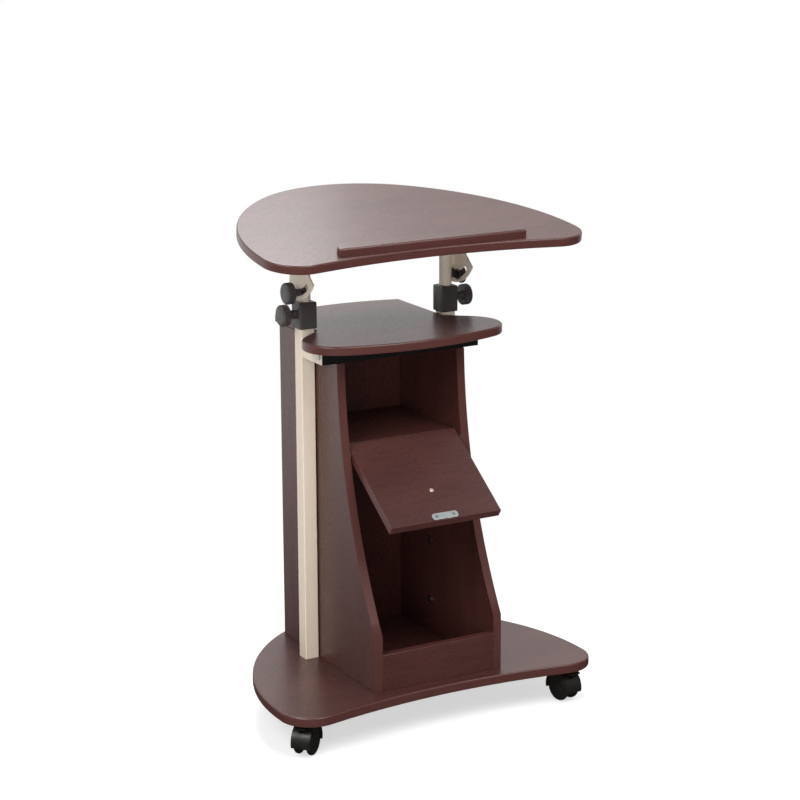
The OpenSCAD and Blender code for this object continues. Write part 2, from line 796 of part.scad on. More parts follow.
module door_knob() {
    r = door_knob_d / 2;
    color(wood) opened() translate([0, -board_t / 2, knob_z]) rotate([90, 0, 0]) difference() {
        rotate_extrude() polygon([
            [0, 0], [r * 0.62, 0], [r * 0.5, 3], [r * 0.46, 8], [r * 0.8, 12], [r, 15],
            [r, 18], [r * 0.85, 20.5], [r * 0.5, 22], [0, 22.4]
        ]);
        translate([0, 0, -past])
            cylinder(h = knob_bite + past + 0.1, r = knob_screw_r + snug);
    }
}

module inner_tube(s) {
    color(beige) placed() translate([s * post_x, 0, tube_foot]) difference() {
        cylinder(h = pivot_z - tube_head - tube_foot, r = tube_r);
        translate([0, 0, -past])
            cylinder(h = pivot_z - tube_head - tube_foot - tube_wall + past, r = tube_r - tube_wall);
    }
}

// Square sliders on the feet of the inner tubes
module tube_guides() {
    color(black) placed() for (s = [-1, 1]) translate([s * post_x, 0, tube_foot]) {
        translate([0, 0, -guide_h]) linear_extrude(guide_h)
            square(post_bore - 2 * slide_gap, center = true);
        cylinder(h = guide_spigot, r = tube_r - tube_wall - snug);
    }
}

// Saddle bar on the outer side of the inner tube, with the eye for the pivot pin
module pivot_block(s) {
    color(beige) placed() to_side(s) difference() {
        translate([0, 0, pivot_z]) slab_x(saddle_in, saddle_out - saddle_in) {
            circle(eye_r);
            translate([-block_half, -block_foot + block_half])
                square([2 * block_half, block_foot - block_half]);
            translate([0, -block_foot + block_half]) circle(block_half);
        }
        translate([post_x, 0, 0]) cylinder(h = pivot_z - tube_head, r = tube_r);
        translate([0, 0, pivot_z]) rod_x(bolt_r + snug, 0, plate_out);
    }
}

module pivot_pins() {
    head = plate_out + slide_gap;
    color(steel) placed() for (s = [-1, 1]) translate([0, 0, pivot_z]) to_side(s) {
        rod_x(pin_head_r, saddle_in - pin_head_t, saddle_in);
        rod_x(bolt_r, saddle_in, head);
        rod_x(pin_head_r, head, head + pin_head_t);
    }
}

// Black plates that carry the clamping studs in front of the inner tubes. Each is
// thin beside the slot, and its rear fills the space up to the tube's side.
module clamp_plates() {
    low = stud_z - clamp_r * 0.8;
    color(black) placed() for (s = [-1, 1]) translate([0, 0, pivot_z]) to_side(s)
        difference() {
            union() {
                translate([0, stud_y, stud_z]) rod_x(clamp_r, saddle_out - clamp_t, saddle_out);
                slab_x(saddle_out - clamp_t, clamp_t) translate([stud_y, low])
                    square([-stud_y + block_half - 2, clamp_r * 1.6]);
                slab_x(saddle_in, saddle_out - saddle_in) translate([2 - block_half, low])
                    square([2 * block_half - 4, clamp_r * 1.6]);
            }
            translate([post_x, 0, -slot_r - 2 * clamp_r]) cylinder(h = 4 * clamp_r, r = tube_r);
            translate([0, stud_y, stud_z]) rod_x(stud_d / 2 + snug, 0, plate_out);
        }
}

// Clamping studs with their heads on the inner side of the plates
module tilt_studs() {
    head = saddle_out - clamp_t;
    color(steel) placed() for (s = [-1, 1]) translate([0, stud_y, pivot_z + stud_z])
        to_side(s) {
            rod_x(stud_head_r, head - stud_head_t, head);
            rod_x(stud_d / 2, head, plate_out + stud_reach(s));
        }
}

// How far a clamping stud stands out of the tilt bracket
function stud_reach(s) = s < 0 ? slide_gap + neck_len + knob_t / 2 : tilt_nut_t - nut_cap_t;

module tabletop() {
    color(wood) tilted() difference() {
        translate([0, 0, pivot_drop]) linear_extrude(board_t)
            polygon(lobed_outline(top_rear_r, top_rear_y, top_side_r, top_lobe_x, top_lobe_y,
                top_lobe_r, top_front_r));
        for (p = bracket_screws) translate([p.x, p.y, pivot_drop - past])
            cylinder(h = screw_depth + past, r = wood_screw_r + snug);
        for (p = ledge_screws) translate([p.x, p.y, pivot_drop - past]) {
            cylinder(h = board_t + 2 * past, r = wood_screw_r + snug);
            cylinder(h = screw_head_t + past, r = 2 * wood_screw_r + snug);
        }
    }
}

// Stop ledge: a straight strip with rounded rear corners
module ledge() {
    half = ledge_len / 2;
    r = ledge_corner_r;
    color(wood) tilted() difference() {
        translate([0, ledge_y, pivot_drop + board_t]) linear_extrude(ledge_h) {
            translate([-half, 0]) square([ledge_len, ledge_w - r]);
            translate([-half + r, 0]) square([ledge_len - 2 * r, ledge_w]);
            for (s = [-1, 1]) translate([s * (half - r), ledge_w - r]) intersection() {
                circle(r);
                translate([-r, 0]) square([2 * r, r]);
            }
        }
        for (p = ledge_screws) translate([p.x, p.y, pivot_drop + board_t - past])
            cylinder(h = 0.64 * ledge_h + past, r = wood_screw_r + snug);
    }
}

// Slotted plate with a flange under the table top
module tilt_bracket(s) {
    rear_a = -acos(bracket_rear / rim_r);
    rim = arc([0, 0], rim_r, rear_a, -90 - bulge_angle, 16);
    slot_from = -90 - stud_angle;
    color(beige) tilted() to_side(s) difference() {
        union() {
            slab_x(plate_x, bracket_t) polygon(concat(
                [[-bracket_front, pivot_drop], [bracket_rear, pivot_drop]],
                rim, [[-bracket_front, -bracket_knee]]
            ));
            translate([plate_out - flange_in, -bracket_front, pivot_drop - bracket_t])
                cube([flange_in, bracket_front + bracket_rear, bracket_t]);
        }
        translate([plate_x - past, 0, 0]) rotate([90, 0, 90]) slot_cut(slot_from, tilt_max);
        rod_x(bolt_r + running, plate_x - past, plate_out + past);
        for (p = bracket_screws) translate([abs(p.x), p.y, pivot_drop - bracket_t - past])
            cylinder(h = bracket_t + 2 * past, r = wood_screw_r + snug);
    }
}

module slot_cut(from, turn) {
    depth = bracket_t + 2 * past;
    rotate([0, 0, from - turn]) rotate_extrude(angle = turn)
        translate([slot_r - slot_w / 2, 0]) square([slot_w, depth]);
    for (a = [from, from - turn]) translate(slot_r * [cos(a), sin(a), 0])
        cylinder(h = depth, r = slot_w / 2);
}

module table_screws() {
    color(steel) tilted() {
        for (p = bracket_screws) translate([p.x, p.y, pivot_drop - bracket_t]) {
            translate([0, 0, -screw_head_t]) cylinder(h = screw_head_t, r = 2 * wood_screw_r);
            cylinder(h = bracket_t + screw_depth - past, r = wood_screw_r);
        }
        for (p = ledge_screws) translate([p.x, p.y, pivot_drop]) {
            cylinder(h = screw_head_t, r = 2 * wood_screw_r);
            cylinder(h = board_t + 0.56 * ledge_h, r = wood_screw_r);
        }
    }
}

// Fluted knob along +X: its neck starts at x = 0
module fluted_knob(neck_r, bore_r, bore_len) {
    r = knob_d / 2;
    color(black) difference() {
        union() {
            rod_x(neck_r, 0, neck_len + past);
            translate([neck_len, 0, 0]) rotate([0, 90, 0]) rotate_extrude() polygon([
                [0, 0], [r - 2, 0], [r, 2], [r, knob_t - 2.5], [r - 3, knob_t - 0.6],
                [r / 2, knob_t], [0, knob_t]
            ]);
        }
        flutes(r, neck_len - past, neck_len + knob_t + past);
        rod_x(bore_r, -past, bore_len);
    }
}

// Grooves around the rim of a knob
module flutes(r, from, to) {
    for (i = [0:flute_count - 1]) rotate([i * 360 / flute_count, 0, 0])
        translate([0, 0, r + flute_r * 0.4]) rod_x(flute_r, from, to, $fn = 24);
}

module tilt_knob_left() {
    placed() translate([-plate_out - slide_gap, stud_y, pivot_z + stud_z]) to_side(-1)
        fluted_knob(tilt_neck_d / 2, stud_d / 2 + running, neck_len + knob_t / 2 + 1);
}

// Flat clamping nut against the right tilt bracket
module tilt_nut_right() {
    r = tilt_nut_d / 2;
    color(black) placed() translate([plate_out + slide_gap, stud_y, pivot_z + stud_z])
        difference() {
            rotate([0, 90, 0]) rotate_extrude() polygon([
                [0, 0], [r, 0], [r, tilt_nut_t - 1], [r - 1, tilt_nut_t], [0, tilt_nut_t]
            ]);
            flutes(r, -past, tilt_nut_t + past);
            rod_x(stud_d / 2 + running, -past, tilt_nut_t - nut_cap_t);
        }
}

module height_knob(s) {
    placed() translate([s * (collar_out + slide_gap), 0, collar_z + height_knob_h])
        to_side(s)
            fluted_knob(height_neck_d / 2, bolt_r + snug, neck_len + knob_t / 2);
}

module height_stud(s) {
    color(steel) placed() translate([0, 0, collar_z + height_knob_h]) to_side(s)
        rod_x(bolt_r, post_x + tube_r + slide_gap,
            collar_out + slide_gap + neck_len + knob_t / 2);
}

// A caster is drawn from its stem on the floor, trailing along +X
module caster(p, turn) {
    placed() translate([p.x, p.y, 0]) rotate([0, 0, turn]) children();
}

// A shape drawn in the X-Z plane about the axle and given a width along Y
module across_y(w) {
    translate([trail, w / 2, wheel_r]) rotate([90, 0, 0]) linear_extrude(w) children();
}

// Hood over both wheels on the fork that carries the axle and turns on the stem
module caster_hood(p, turn, brake) {
    color(black) caster(p, turn) difference() {
        union() {
            across_y(hood_w) difference() {
                circle(hood_outer_r);
                circle(hood_inner_r);
                polygon([[0, 0], hood_outer_r * [1.5, -0.4], hood_outer_r * [1.5, -2],
                    hood_outer_r * [-1.5, -2], hood_outer_r * [-1.5, -0.4]]);
            }
            across_y(fork_w) {
                circle(fork_disc_r);
                intersection() {
                    circle(hood_inner_r + 0.4);
                    translate([-hood_inner_r, -6]) square(2 * hood_inner_r);
                }
            }
            translate([0, 0, wheel_r + 10])
                cylinder(h = fork_top - wheel_r - 10, r = fork_w / 2);
            translate([0, 0, fork_top - stem_d]) cylinder(h = stem_d, r = stem_d + 2);
        }
        translate([0, 0, caster_h - stem_depth - slide_gap])
            cylinder(h = stem_depth, r = stem_d / 2 + running);
        translate([trail, -fork_w, wheel_r]) rotate([-90, 0, 0])
            cylinder(h = 2 * fork_w, r = axle_r + running);
        if (brake) {
            translate([lever_pin.x - 4.6, -lever_w / 2 - slide_gap, lever_pin.y - 4.6])
                cube([14, lever_w + 2 * slide_gap, 20]);
            translate([lever_pin.x, -fork_w / 2 - past, lever_pin.y]) rotate([-90, 0, 0])
                cylinder(h = fork_w + 2 * past, r = lever_pin_r + running);
        }
    }
}

module caster_wheels(p, turn) {
    inner = fork_w / 2 + wheel_gap;
    color(black) caster(p, turn) translate([trail, 0, wheel_r]) for (s = [-1, 1])
        rotate([0, 0, s > 0 ? 0 : 180]) difference() {
            translate([0, inner, 0]) rotate([-90, 0, 0]) rotate_extrude($fn = 64) polygon([
                [0, 0], [wheel_r - 2, 0], [wheel_r - 0.5, 1.2], [wheel_r, 2.6],
                [wheel_r, wheel_w - 4.4], [wheel_r - 0.7, wheel_w - 2.8],
                [wheel_r - 2.4, wheel_w - 1.6], [wheel_r * 0.7, wheel_w - 0.8],
                [wheel_r * 0.35, wheel_w - 0.2], [0, wheel_w]
            ]);
            translate([0, inner - past, 0]) rotate([-90, 0, 0])
                cylinder(h = axle_depth + past, r = axle_r + snug);
        }
}

module caster_axle(p, turn) {
    half = fork_w / 2 + wheel_gap + axle_depth - snug;
    color(steel) caster(p, turn) translate([trail, -half, wheel_r]) rotate([-90, 0, 0])
        cylinder(h = 2 * half, r = axle_r);
}

// Brake lever: a tail on a pin in the fork, and a toe blade above the hood
module brake_lever(p, turn) {
    color(black) caster(p, turn) translate([lever_pin.x, 0, lever_pin.y]) {
        translate([0, -fork_w / 2, 0]) rotate([-90, 0, 0]) cylinder(h = fork_w, r = lever_pin_r);
        translate([0, lever_w / 2, 0]) rotate([90, 0, 0]) linear_extrude(lever_w) {
            circle(3.6);
            translate([-3, 0]) square([7, 13.5]);
        }
        translate([0, lever_blade_w / 2, 0]) rotate([90, 0, 0]) linear_extrude(lever_blade_w)
            polygon([[-5, 12.6], [7, 12.2], [20, 9.6], [20.6, 11.4], [8, 15], [-5, 15.4]]);
    }
}

base_panel();
side_panel(-1);  // side_panel_left
side_panel(1);  // side_panel_right
back_panel();
lip_board();
interior_shelf();
mid_shelf();
dowels();
post(-1);  // post_left
post(1);  // post_right
post_plugs();
post_fasteners();
arm(-1);  // arm_left
arm(1);  // arm_right
crossbar();
arm_screws();
collar(-1);  // collar_left
collar(1);  // collar_right
hinge_bushes();
caster_stems();
flap_door();
door_pins();
magnet_plate();
door_screws();
door_knob();
inner_tube(-1);  // inner_tube_left
inner_tube(1);  // inner_tube_right
tube_guides();
pivot_block(-1);  // pivot_block_left
pivot_block(1);  // pivot_block_right
pivot_pins();
clamp_plates();
tilt_studs();
tabletop();
ledge();
tilt_bracket(-1);  // tilt_bracket_left
tilt_bracket(1);  // tilt_bracket_right
table_screws();
tilt_knob_left();
tilt_nut_right();
height_knob(-1);  // height_knob_left
height_knob(1);  // height_knob_right
height_stud(-1);  // height_stud_left
height_stud(1);  // height_stud_right
caster_hood(front_casters[0], turn_fl, true);  // caster_hood_fl
caster_hood(front_casters[1], turn_fr, true);  // caster_hood_fr
caster_hood(rear_casters[0], turn_rl, false);  // caster_hood_rl
caster_hood(rear_casters[1], turn_rr, false);  // caster_hood_rr
caster_wheels(front_casters[0], turn_fl);  // caster_wheels_fl
caster_wheels(front_casters[1], turn_fr);  // caster_wheels_fr
caster_wheels(rear_casters[0], turn_rl);  // caster_wheels_rl
caster_wheels(rear_casters[1], turn_rr);  // caster_wheels_rr
caster_axle(front_casters[0], turn_fl);  // caster_axle_fl
caster_axle(front_casters[1], turn_fr);  // caster_axle_fr
caster_axle(rear_casters[0], turn_rl);  // caster_axle_rl
caster_axle(rear_casters[1], turn_rr);  // caster_axle_rr
brake_lever(front_casters[0], turn_fl);  // brake_lever_fl
brake_lever(front_casters[1], turn_fr);  // brake_lever_fr
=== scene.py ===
import json
import math

import bmesh
import bpy
from bpy.props import FloatProperty, FloatVectorProperty, IntProperty, PointerProperty
from mathutils import Matrix, Vector

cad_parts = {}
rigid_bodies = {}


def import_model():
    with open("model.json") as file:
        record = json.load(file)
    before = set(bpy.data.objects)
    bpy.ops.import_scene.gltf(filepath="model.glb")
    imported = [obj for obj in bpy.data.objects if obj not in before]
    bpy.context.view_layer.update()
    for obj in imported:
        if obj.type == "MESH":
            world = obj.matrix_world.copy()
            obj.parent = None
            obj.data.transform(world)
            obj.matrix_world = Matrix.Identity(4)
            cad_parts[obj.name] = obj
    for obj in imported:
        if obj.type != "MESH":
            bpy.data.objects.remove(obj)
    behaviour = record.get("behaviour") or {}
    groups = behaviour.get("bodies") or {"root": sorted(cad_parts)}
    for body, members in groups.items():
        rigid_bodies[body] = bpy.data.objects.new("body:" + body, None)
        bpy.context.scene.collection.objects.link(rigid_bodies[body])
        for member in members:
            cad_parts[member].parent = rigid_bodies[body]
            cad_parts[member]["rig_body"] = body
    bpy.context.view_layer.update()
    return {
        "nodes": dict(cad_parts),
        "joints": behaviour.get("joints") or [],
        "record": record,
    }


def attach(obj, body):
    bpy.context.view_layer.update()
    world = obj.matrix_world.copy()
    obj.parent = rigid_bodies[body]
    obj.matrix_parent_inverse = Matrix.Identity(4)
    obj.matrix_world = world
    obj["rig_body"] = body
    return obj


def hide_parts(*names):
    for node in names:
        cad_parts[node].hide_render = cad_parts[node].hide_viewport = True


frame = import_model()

bl_info = {
    "name": "Rolling laptop desk",
    "version": (1, 0, 0),
    "blender": (4, 5, 0),
    "location": "View3D > Sidebar > Desk",
    "description": "Dresses the desk's frame with its boards, tubes, knobs and casters",
    "category": "Object",
}

MM = 0.001
NODES = frame["nodes"]
JOINTS = {joint["name"]: joint for joint in frame["joints"]}
SLOTS = {part["node"]: part["material_slot"] for part in frame["record"]["subparts"]}
SIDES = ("left", "right")
CASTERS = ("fl", "fr", "rl", "rr")
BRAKED_CASTERS = ("fl", "fr")

# Turns at rest, in which the table top leans to the front and the door hangs open.
TABLE_TILT = math.radians(7)
DOOR_OPEN = math.radians(125)

# Ways that the boards face.
ACROSS = Vector((1, 0, 0))
FRONT = Vector((0, -1, 0))
UP = Vector((0, 0, 1))
TABLE_UP = Vector((0, -math.sin(TABLE_TILT), math.cos(TABLE_TILT)))
DOOR_OUT = Vector((0, -math.cos(DOOR_OPEN), -math.sin(DOOR_OPEN)))

# An outline shorter than this is a hole's, and its edge stays sharp.
BOARD_OUTLINE = 300 * MM
COLLAR_OUTLINE = 110 * MM
PLATE_OUTLINE = 50 * MM
SCREW_OUTLINE = 20 * MM

# Edges on the underside are rounded by this share of the upper ones.
UNDERSIDE = 0.6

# Radii of edges too small for a setting.
MAGNET_EDGE = 0.4 * MM
SCREW_DOME = 0.9 * MM
HOOD_EDGE = 0.8 * MM
LEVER_EDGE = 0.5 * MM

# Points of a CAD mesh that are this close are merged, and so are faces that turn this little.
MERGE_WITHIN = 0.004 * MM
FLAT_WITHIN = math.radians(0.3)

# Edges that turn more than this are sharp, and shorter ones than this are chords of a bore.
SHARP_TURN = math.radians(50)
BORE_CHORD = 2.5 * MM

# Cosines of the turn away from a board's normal: a face is flat above the first, and the
# laminate ends and the edge band begins at the second.
FLAT_FACE = 0.999
BAND_BEGINS = 0.85


def linear(code):
    """An sRGB hex colour as linear red, green and blue."""
    parts = [int(code[i:i + 2], 16) / 255 for i in (1, 3, 5)]
    return [c / 12.92 if c <= 0.04045 else ((c + 0.055) / 1.055) ** 2.4 for c in parts]


# Settings

def length(name, text, default):
    """A setting for a size in metres."""
    return FloatProperty(name=name, description=text, default=default, min=0, unit="LENGTH")


def colour(name, text, code):
    """A setting for a colour."""
    return FloatVectorProperty(
        name=name, description=text, default=linear(code), subtype="COLOR", min=0, max=1
    )


class DeskSizes(bpy.types.PropertyGroup):
    board_round: length("Board edge", "Radius of the boards' moulded edges", 3 * MM)
    panel_round: length("Panel edge", "Radius of the hutch boards' edges", 0.8 * MM)
    ledge_round: length("Ledge edge", "Radius of the stop ledge's upper edge", 4 * MM)
    collar_round: length("Collar edge", "Radius of the collars' ends", 2.5 * MM)
    plate_round: length("Plate edge", "Radius of the steel plates' edges", 0.5 * MM)
    knob_radius: length("Knob", "Outer radius of the clamping knobs", 18 * MM)
    nut_radius: length("Flat nut", "Outer radius of the flat clamping nut", 15.5 * MM)
    knob_flutes: IntProperty(
        name="Flutes", description="Number of flutes round a clamping knob", default=24, min=6
    )


class DeskColours(bpy.types.PropertyGroup):
    laminate: colour("Laminate", "Printed espresso grain of the boards", "#4c2b27")
    laminate_dark: colour("Dark grain", "Darker streaks in the grain", "#412421")
    edge_band: colour("Edge band", "Reddish band round the boards", "#53302c")
    powder: colour("Powder coat", "Champagne powder coat of the steel", "#dfd0be")
    black: colour("Black plastic", "Moulded knobs and collars", "#45403f")
    nylon: colour("Caster nylon", "Black nylon of the casters", "#1e1c19")


def sizes():
    """The sizes that are set in the panel."""
    return bpy.context.scene.desk_sizes


def colours():
    """The colours that are set in the panel."""
    return bpy.context.scene.desk_colours


# Materials

# Sockets of the Mix node, which has one set for values and one for colours.
FACTOR, VALUE_A, VALUE_B, COLOUR_A, COLOUR_B, COLOUR_OUT = 0, 2, 3, 6, 7, 2

# Axes that a grain runs along.
ALONG_X, ALONG_Z = 0, 2


def fill(tree, node, inputs):
    """Give these sockets of a node their values or links."""
    for socket, value in inputs.items():
        if isinstance(value, bpy.types.NodeSocket):
            tree.links.new(value, node.inputs[socket])
        else:
            node.inputs[socket].default_value = value


def add_node(tree, kind, inputs=None, output=0, **settings):
    """Add a node with its settings, values and links, and return one of its outputs, or
    all of them where output is None."""
    made = tree.nodes.new(kind)
    for name, value in settings.items():
        setattr(made, name, value)
    fill(tree, made, inputs or {})
    return made.outputs if output is None else made.outputs[output]


def start_material(name, base, roughness, **values):
    """A material whose shader has these values all over."""
    made = bpy.data.materials.new(name)
    made.use_nodes = True
    tree = made.node_tree
    shader = tree.nodes["Principled BSDF"]
    fill(tree, shader, {"Base Color": (*base, 1), "Roughness": roughness, **values})
    return made, tree, shader


def grain(tree, size, along=None, stretch=1, detail=3.0, warp=0.0):
    """Noise with grains of this size in metres, drawn out along one axis."""
    scale = [1 / size] * 3
    if along is not None:
        scale[along] = 1 / (size * stretch)
    place = add_node(tree, "ShaderNodeTexCoord", output="Object")
    spread = add_node(tree, "ShaderNodeMapping", {"Vector": place, "Scale": scale})
    return add_node(tree, "ShaderNodeTexNoise", {
        "Vector": spread, "Scale": 1.0, "Detail": detail, "Roughness": 0.55,
        "Distortion": warp,
    })


def mottle(tree, pattern, base, share):
    """The base colour, darkened to this share of it where the pattern is high."""
    amount = add_node(tree, "ShaderNodeMapRange", {
        "Value": pattern, "From Min": 0.3, "From Max": 0.7})
    darker = [c * share for c in base]
    return add_node(tree, "ShaderNodeMix", {
        FACTOR: amount, COLOUR_A: (*base, 1), COLOUR_B: (*darker, 1),
    }, COLOUR_OUT, data_type="RGBA")


def embossed_laminate(name, along):
    """Melamine laminate on chipboard, pressed against an embossed plate: a dark printed
    grain under a satin face whose fine pores break up the reflections."""
    shades = colours()
    made, tree, shader = start_material(name, shades.laminate, roughness=0.33, IOR=1.6)
    # The printed grain has streaks 2.5 mm wide and 60 mm long.
    streaks = add_node(tree, "ShaderNodeMapRange", {
        "Value": grain(tree, 2.5 * MM, along, stretch=24, warp=0.6),
        "From Min": 0.35, "From Max": 0.68,
    })
    tint = add_node(tree, "ShaderNodeMix", {
        FACTOR: streaks,
        COLOUR_A: (*shades.laminate, 1), COLOUR_B: (*shades.laminate_dark, 1),
    }, COLOUR_OUT, data_type="RGBA")
    # Over it, the ink is thinner and thicker in clouds 50 mm wide and 150 mm long.
    clouds = add_node(tree, "ShaderNodeMapRange", {
        "Value": grain(tree, 50 * MM, along, stretch=3, detail=1.0),
        "From Min": 0.3, "From Max": 0.7, "To Min": 0.88, "To Max": 1.1,
    })
    tint = add_node(tree, "ShaderNodeVectorMath", {0: tint, "Scale": clouds},
                    operation="SCALE")
    # The pores are 0.9 mm wide and 7 mm long, pressed 0.1 mm deep.
    pores = grain(tree, 0.9 * MM, along, stretch=8, detail=2.0)
    sheen = add_node(tree, "ShaderNodeMapRange", {
        "Value": pores, "From Min": 0.35, "From Max": 0.65, "To Min": 0.26, "To Max": 0.38})
    relief = add_node(tree, "ShaderNodeBump", {
        "Height": pores, "Distance": 0.1 * MM, "Strength": 0.75})
    fill(tree, shader, {"Base Color": tint, "Roughness": sheen, "Normal": relief})
    return made


def edge_banding(name, along):
    """ABS edge banding: plain reddish plastic with a faint printed streak, buffed smooth."""
    base = colours().edge_band
    made, tree, shader = start_material(name, base, roughness=0.3)
    # The streaks are 1.2 mm wide and 36 mm long, the buffing marks 1.5 mm by 9 mm.
    streaks = grain(tree, 1.2 * MM, along, stretch=30)
    marks = grain(tree, 1.5 * MM, along, stretch=6)
    relief = add_node(tree, "ShaderNodeBump", {
        "Height": marks, "Distance": 0.03 * MM, "Strength": 0.4})
    fill(tree, shader, {
        "Base Color": mottle(tree, streaks, base, share=0.75), "Normal": relief})
    return made


def powder_coat(name, base):
    """Baked polyester powder on steel: satin colour, a little thinner in places, over a
    fine orange peel."""
    made, tree, shader = start_material(name, base, roughness=0.42)
    # The orange peel has waves 1.2 mm across, and the thin places are 10 mm wide.
    peel = grain(tree, 1.2 * MM, detail=1.0)
    thin = grain(tree, 10 * MM)
    sheen = add_node(tree, "ShaderNodeMapRange", {
        "Value": peel, "From Min": 0.3, "From Max": 0.7, "To Min": 0.38, "To Max": 0.47})
    relief = add_node(tree, "ShaderNodeBump", {
        "Height": peel, "Distance": 0.03 * MM, "Strength": 0.5})
    fill(tree, shader, {
        "Base Color": mottle(tree, thin, base, share=0.96),
        "Roughness": sheen, "Normal": relief,
    })
    return made


def moulded_plastic(name, base, shiny, dull, spark):
    """Injection moulded plastic from a spark-eroded tool: grain that scatters the light,
    with slightly shinier patches where it is handled."""
    made, tree, shader = start_material(name, base, roughness=dull)
    # Spark grain is about 0.1 mm, drawn at 0.4 mm so that it shows. Patches are 12 mm wide.
    fine = grain(tree, 0.4 * MM, detail=2.0)
    patches = grain(tree, 12 * MM, detail=2.0)
    sheen = add_node(tree, "ShaderNodeMapRange", {
        "Value": patches, "From Min": 0.35, "From Max": 0.65,
        "To Min": shiny, "To Max": dull,
    })
    relief = add_node(tree, "ShaderNodeBump", {
        "Height": fine, "Distance": 0.04 * MM, "Strength": spark})
    fill(tree, shader, {
        "Base Color": mottle(tree, patches, base, share=0.8),
        "Roughness": sheen, "Normal": relief,
    })
    return made


def plated_steel(name, base, rough, along=None):
    """Plated or blackened steel: a metal whose fine crystals soften the highlights, and
    whose drawing marks, where it has them, stretch these along one axis."""
    made, tree, shader = start_material(name, base, roughness=rough, Metallic=1.0)
    # The crystals are 0.3 mm, coarser than real ones so that they show. Marks are 6 mm long.
    marks = grain(tree, 0.3 * MM, along, stretch=20)
    sheen = add_node(tree, "ShaderNodeMapRange", {
        "Value": marks, "From Min": 0.3, "From Max": 0.7,
        "To Min": rough - 0.07, "To Max": rough + 0.08,
    })
    relief = add_node(tree, "ShaderNodeBump", {
        "Height": marks, "Distance": 0.01 * MM, "Strength": 0.5})
    fill(tree, shader, {
        "Base Color": mottle(tree, marks, base, share=0.88),
        "Roughness": sheen, "Normal": relief,
    })
    return made


def bare_beech(name):
    """Unfinished beech: pale, with darker flecks 0.8 mm wide and 6 mm long on its grain."""
    base = linear("#d2ab78")
    made, tree, shader = start_material(name, base, roughness=0.6)
    flecks = grain(tree, 0.8 * MM, ALONG_Z, stretch=8)
    fill(tree, shader, {"Base Color": mottle(tree, flecks, base, share=0.6)})
    return made


MAKERS = {
    # Faces of the boards: dark brown wood whose streaks run with the board.
    "espresso_laminate_grain_across": lambda n: embossed_laminate(n, ALONG_X),
    "espresso_laminate_grain_upright": lambda n: embossed_laminate(n, ALONG_Z),
    # Door knob: turned beech, stained as dark as the boards and drawn with their grain.
    "stained_beech_knob": lambda n: embossed_laminate(n, ALONG_Z),
    # Edges of the boards: a plainer, redder and shinier line round the faces.
    "abs_edge_band_across": lambda n: edge_banding(n, ALONG_X),
    "abs_edge_band_upright": lambda n: edge_banding(n, ALONG_Z),
    # Posts, tubes, arms and brackets: warm ivory with a soft sheen.
    "champagne_powder_coat": lambda n: powder_coat(n, colours().powder),
    # Crossbar: a black that shows little but the highlights along its edges.
    "black_powder_coat": lambda n: powder_coat(n, linear("#101011")),
    # Tilt studs: dark metal with broad, dull highlights.
    "blackened_steel": lambda n: plated_steel(n, linear("#2c2a29"), rough=0.4),
    # Knobs and collars: charcoal with a grainy, satin sheen.
    "moulded_black_plastic": lambda n: moulded_plastic(
        n, colours().black, shiny=0.36, dull=0.46, spark=0.5),
    # Casters: a deeper black than the knobs, smoother and a little shinier.
    "moulded_caster_nylon": lambda n: moulded_plastic(
        n, colours().nylon, shiny=0.34, dull=0.44, spark=0.25),
    # Screws, pins and axles: light grey metal with clear highlights.
    "zinc_plated_steel": lambda n: plated_steel(n, linear("#bdbdb9"), rough=0.32),
    # Screw of the door knob: dull metal with a warm, creamy tint.
    "yellow_passivated_steel": lambda n: plated_steel(n, linear("#f3e2cf"), rough=0.5),
    # Magnet plate: cool, pale metal whose highlights are drawn out across the door.
    "nickel_plated_magnet": lambda n: plated_steel(
        n, linear("#d6dedd"), rough=0.42, along=ALONG_X),
    # Dowels: pale wood in the joints.
    "bare_beech": bare_beech,
}


def material(name):
    """The material of this name, made when it is first asked for."""
    return bpy.data.materials.get(name) or MAKERS[name](name)


# Modelling

def take(*pieces):
    """Select these pieces alone, the last one active."""
    if bpy.context.mode != "OBJECT":
        bpy.ops.object.mode_set(mode="OBJECT")
    bpy.ops.object.select_all(action="DESELECT")
    for piece in pieces:
        piece.select_set(True)
        bpy.context.view_layer.objects.active = piece


def pick(piece, kind, test):
    """In edit mode, select the parts of this kind that pass the test."""
    bpy.ops.mesh.select_mode(type=kind)
    bpy.ops.mesh.select_all(action="DESELECT")
    mesh = bmesh.from_edit_mesh(piece.data)
    found = 0
    for part in {"VERT": mesh.verts, "EDGE": mesh.edges, "FACE": mesh.faces}[kind]:
        if test(part):
            part.select_set(True)
            found += 1
    bmesh.update_edit_mesh(piece.data)
    if not found:
        raise RuntimeError(f"{piece.name} has nothing that passes the test")


def copy_node(name, node):
    """A piece with a CAD node's shape, its loose triangles merged into whole faces."""
    piece = bpy.data.objects.new(name, NODES[node].data.copy())
    piece.data.name = name
    piece.data.materials.clear()
    bpy.context.scene.collection.objects.link(piece)
    take(piece)
    bpy.ops.object.mode_set(mode="EDIT")
    bpy.ops.mesh.select_all(action="SELECT")
    bpy.ops.mesh.remove_doubles(threshold=MERGE_WITHIN)
    bpy.ops.mesh.dissolve_limited(angle_limit=FLAT_WITHIN)
    bpy.ops.object.mode_set(mode="OBJECT")
    bpy.ops.mesh.customdata_custom_splitnormals_clear()
    return piece


def copy_piece(master, name, place=Matrix()):
    """A copy of a piece at this place, with its own mesh."""
    piece = master.copy()
    piece.data = master.data.copy()
    piece.data.transform(place)
    piece.name = name
    bpy.context.scene.collection.objects.link(piece)
    return piece


def join(name, pieces):
    """Join these pieces into one of this name."""
    take(*pieces)
    bpy.ops.object.join()
    joined = bpy.context.object
    joined.name = name
    return joined


